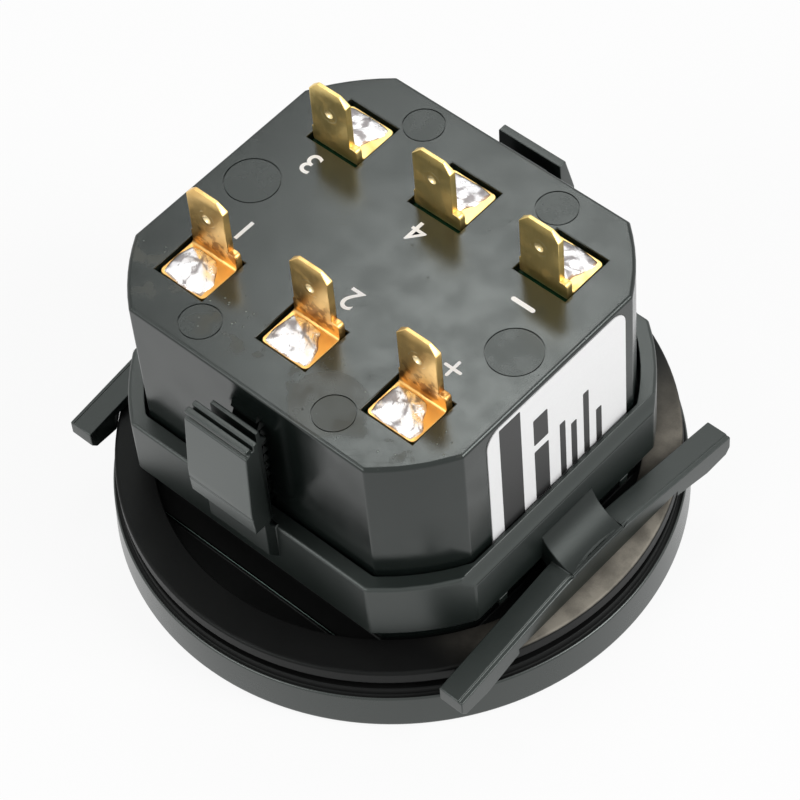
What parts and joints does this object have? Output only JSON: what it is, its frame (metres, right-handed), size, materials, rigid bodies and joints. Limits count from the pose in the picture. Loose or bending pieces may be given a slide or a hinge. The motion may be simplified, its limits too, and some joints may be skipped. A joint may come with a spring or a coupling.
{
  "type": "digital tachometer",
  "caption": "Round panel-mounted digital tachometer with a flat-sided moulded body, push-on rear blades and a ratcheting spring clip.",
  "frame": {"origin": "centre of the bezel's front rim, on the surface that the gauge lies on", "axes": "+Z points to the rear of the gauge, where the blades stand. X runs along the two rows of blades, and the label is on the +X wall. The latches of the clip are on the +Y and -Y sides, and its arms are on the +X and -X sides."},
  "size_m": [0.0584, 0.0584, 0.0422],
  "materials": {
    "case_black": "moulded black plastic, semi-gloss",
    "bezel_black": "black plastic ring, satin",
    "clip_black": "moulded black nylon, satin",
    "lens_clear": "clear polycarbonate",
    "seal_rubber": "soft black seal",
    "dial_black": "printed black plastic sheet",
    "lcd_glass": "grey-green display glass",
    "frame_white": "white moulded plastic",
    "guide_white": "milky light guide",
    "zebra_rubber": "striped contact rubber",
    "board_green": "circuit board with green mask",
    "chip_black": "black moulded resin",
    "can_metal": "drawn metal can",
    "capacitor_can": "bare aluminium can",
    "lamp_resin": "clear resin lamp",
    "varistor_blue": "dipped blue disc",
    "screw_steel": "plated steel",
    "blade_brass": "stamped bright brass",
    "solder": "bright tin solder",
    "label_white": "white film label"
  },
  "bodies": {
    "meter": {"rear_housing": "case_black", "bezel_ring": "bezel_black", "lens": "lens_clear", "lens_seal": "seal_rubber", "dial_plate": "dial_black", "lcd_glass": "lcd_glass", "lcd_frame": "frame_white", "light_guide": "guide_white", "zebra_upper": "zebra_rubber", "zebra_lower": "zebra_rubber", "main_board": "board_green", "processor": "chip_black", "memory_chip": "chip_black", "crystal": "can_metal", "voltage_regulator": "chip_black", "capacitor": "capacitor_can", "backlight_leds": "lamp_resin", "header_socket": "chip_black", "pin_header": "chip_black", "terminal_board": "board_green", "surge_varistor": "varistor_blue", "board_screws": "screw_steel", "solder_joints": "solder", "rating_label": "label_white", "terminal_1": "blade_brass", "terminal_2": "blade_brass", "terminal_3": "blade_brass", "terminal_4": "blade_brass", "terminal_5": "blade_brass", "terminal_6": "blade_brass"},
    "clip": {"retaining_clip": "clip_black"}
  },
  "joints": [
    {"name": "clip_slide", "type": "slide", "parent": "meter", "child": "clip", "axis": [0, 0, 1], "range_m": [0, 0.035]}
  ]
}
